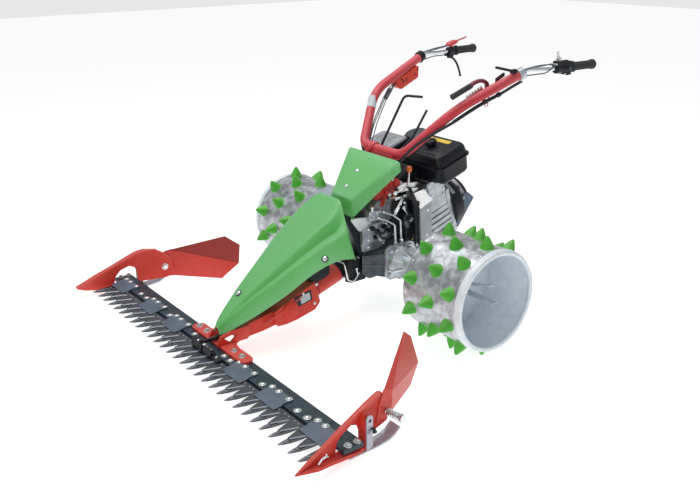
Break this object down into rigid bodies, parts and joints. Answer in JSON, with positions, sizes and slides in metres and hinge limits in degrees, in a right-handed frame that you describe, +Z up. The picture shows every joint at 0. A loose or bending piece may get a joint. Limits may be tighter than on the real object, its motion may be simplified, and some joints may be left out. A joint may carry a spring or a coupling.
{
  "type": "motor mower",
  "caption": "Walk-behind motor mower with spiked drum wheels, a wide finger bar between divider shoes, an engine behind the gearbox and a bent tube handlebar with levers",
  "frame": {"origin": "middle of the mower's length and width, on the ground", "axes": "+X to the operator's left, +Y to the rear where the operator walks, +Z up"},
  "size_m": [1.6372, 1.7536, 0.9783],
  "materials": {
    "green_paint": "glossy mid green enamel on sheet steel",
    "red_paint": "glossy orange red enamel",
    "bar_steel": "dark blue grey forged steel with bright edges",
    "bright_steel": "bright plated steel",
    "zinc": "mottled galvanised steel",
    "cast_aluminium": "matt cast aluminium",
    "dark_casting": "dark grey painted casting",
    "black_plastic": "black moulded plastic",
    "rubber": "black rubber"
  },
  "bodies": {
    "chassis": {"gearbox_housing": "dark_casting", "gearbox_top": "cast_aluminium", "front_plate": "black_plastic", "axle_case_left": "cast_aluminium", "axle_case_right": "cast_aluminium", "quick_hitch": "black_plastic", "swivel_socket": "black_plastic", "hydraulic_pipes": "bright_steel", "handlebar_bracket": "red_paint", "cover_box": "green_paint", "crankcase": "cast_aluminium", "fan_shroud": "black_plastic", "rear_guard": "dark_casting", "fuel_tank": "black_plastic", "cylinder": "cast_aluminium", "muffler_guard": "cast_aluminium", "air_filter": "black_plastic", "guard_box": "cast_aluminium"},
    "wheel_left": {"drum_left": "zinc", "hub_left": "zinc"},
    "wheel_right": {"drum_right": "zinc", "hub_right": "zinc"},
    "drive_shaft": {"drive_shaft": "bright_steel"},
    "hitch_bail": {"hitch_bail": "bright_steel"},
    "implement": {"cutter_bar": "bar_steel", "finger_guards": "bar_steel", "mounting_foot": "red_paint", "drive_arm": "red_paint", "drive_tube": "red_paint", "hood": "green_paint", "shoe_left": "red_paint", "shoe_right": "red_paint", "skid_left": "bright_steel", "skid_right": "bright_steel", "board_spring_left": "bright_steel", "board_spring_right": "bright_steel"},
    "knife": {"knife": "bright_steel", "knife_head": "dark_casting"},
    "knife_lever": {"knife_lever": "dark_casting"},
    "board_left": {"board_left": "red_paint"},
    "board_right": {"board_right": "red_paint"},
    "pto_lever": {"pto_lever": "bright_steel"},
    "shift_rod_tall": {"shift_rod_tall": "black_plastic"},
    "shift_rod_short": {"shift_rod_short": "black_plastic"},
    "fuel_cap": {"fuel_cap": "black_plastic"},
    "handlebar_swivel": {"handlebar_swivel": "red_paint"},
    "handlebar": {"handlebar_loop": "red_paint", "handle_left": "bright_steel", "handle_right": "bright_steel", "grip_left": "rubber", "grip_right": "rubber", "control_unit": "black_plastic", "control_box": "red_paint", "cable_left": "rubber", "cable_right": "rubber"},
    "hand_lever": {"hand_lever": "bright_steel"},
    "locking_lever": {"locking_lever": "black_plastic"},
    "throttle_lever": {"throttle_lever": "bright_steel"},
    "clutch_lever": {"clutch_lever": "black_plastic"},
    "stop_lever": {"stop_lever": "red_paint"}
  },
  "joints": [
    {"name": "wheel_left_spin", "type": "hinge", "parent": "chassis", "child": "wheel_left", "pos_m": [0, 0.0595, 0.222], "axis": [1, 0, 0], "continuous": true},
    {"name": "wheel_right_spin", "type": "hinge", "parent": "chassis", "child": "wheel_right", "pos_m": [0, 0.0595, 0.222], "axis": [1, 0, 0], "continuous": true},
    {"name": "drive_shaft_spin", "type": "hinge", "parent": "chassis", "child": "drive_shaft", "pos_m": [0, 0.0595, 0.254], "axis": [0, 0.9511, 0.309], "continuous": true},
    {"name": "hitch_bail_hinge", "type": "hinge", "parent": "chassis", "child": "hitch_bail", "pos_m": [0, -0.0935, 0.2001], "axis": [1, 0, 0], "range_deg": [-30, 8]},
    {"name": "implement_roll", "type": "hinge", "parent": "chassis", "child": "implement", "pos_m": [0, 0.0595, 0.254], "axis": [0, 0.9511, 0.309], "range_deg": [-8, 8]},
    {"name": "knife_lever_swing", "type": "hinge", "parent": "implement", "child": "knife_lever", "pos_m": [0, -0.5805, 0.0606], "axis": [0, 0, 1], "range_deg": [-9.7, 9.7]},
    {"name": "knife_slide", "type": "slide", "parent": "implement", "child": "knife", "axis": [1, 0, 0], "range_m": [-0.0254, 0.0254]},
    {"name": "board_left_hinge", "type": "hinge", "parent": "implement", "child": "board_left", "pos_m": [0.73574, -0.51433, 0.072], "axis": [0.986, 0.1668, 0], "range_deg": [-3, 9]},
    {"name": "board_right_hinge", "type": "hinge", "parent": "implement", "child": "board_right", "pos_m": [-0.73574, -0.51433, 0.072], "axis": [0.986, -0.1668, 0], "range_deg": [-3, 9]},
    {"name": "pto_lever_hinge", "type": "hinge", "parent": "chassis", "child": "pto_lever", "pos_m": [0.0503, 0.0655, 0.477], "axis": [-1, 0, 0], "range_deg": [-10, 15]},
    {"name": "shift_rod_tall_hinge", "type": "hinge", "parent": "chassis", "child": "shift_rod_tall", "pos_m": [-0.0503, 0.0875, 0.5], "axis": [-1, 0, 0], "range_deg": [-1, 7]},
    {"name": "shift_rod_short_hinge", "type": "hinge", "parent": "chassis", "child": "shift_rod_short", "pos_m": [-0.0503, 0.0495, 0.478], "axis": [-1, 0, 0], "range_deg": [-2, 8]},
    {"name": "fuel_cap_turn", "type": "hinge", "parent": "chassis", "child": "fuel_cap", "pos_m": [0.068, 0.26281, 0.62498], "axis": [0, -0.309, 0.9511], "range_deg": [0, 90]},
    {"name": "handlebar_swivel_turn", "type": "hinge", "parent": "chassis", "child": "handlebar_swivel", "pos_m": [0, 0.0725, 0.568], "axis": [0, 0, 1], "range_deg": [-8, 8]},
    {"name": "handlebar_tilt", "type": "hinge", "parent": "handlebar_swivel", "child": "handlebar", "pos_m": [0, 0.0725, 0.626], "axis": [1, 0, 0], "range_deg": [-10, 15]},
    {"name": "hand_lever_hinge", "type": "hinge", "parent": "handlebar", "child": "hand_lever", "pos_m": [0.2402, 0.3835, 0.85785], "axis": [-1, 0, 0], "range_deg": [-5, 25]},
    {"name": "locking_lever_hinge", "type": "hinge", "parent": "handlebar", "child": "locking_lever", "pos_m": [0.28178, 0.4695, 0.91429], "axis": [-1, 0, 0], "range_deg": [-4, 30]},
    {"name": "throttle_lever_hinge", "type": "hinge", "parent": "handlebar", "child": "throttle_lever", "pos_m": [0.31467, 0.68042, 0.9473], "axis": [0.9983, -0.058, 0], "range_deg": [-25, 25]},
    {"name": "clutch_lever_hinge", "type": "hinge", "parent": "handlebar", "child": "clutch_lever", "pos_m": [-0.31699, 0.72035, 0.8857], "axis": [0.9983, 0.058, 0], "range_deg": [0, 12], "stiffness_Nm_per_rad": 1, "springref_deg": -20.05},
    {"name": "stop_lever_hinge", "type": "hinge", "parent": "handlebar", "child": "stop_lever", "pos_m": [-0.31687, 0.71836, 0.9353], "axis": [0.9983, 0.058, 0], "range_deg": [-12, 0], "stiffness_Nm_per_rad": 0.5, "springref_deg": 20.05}
  ],
  "couplings": [
    {"joint": "knife_slide", "follows": "knife_lever_swing", "m_per_rad": 0.15}
  ]
}
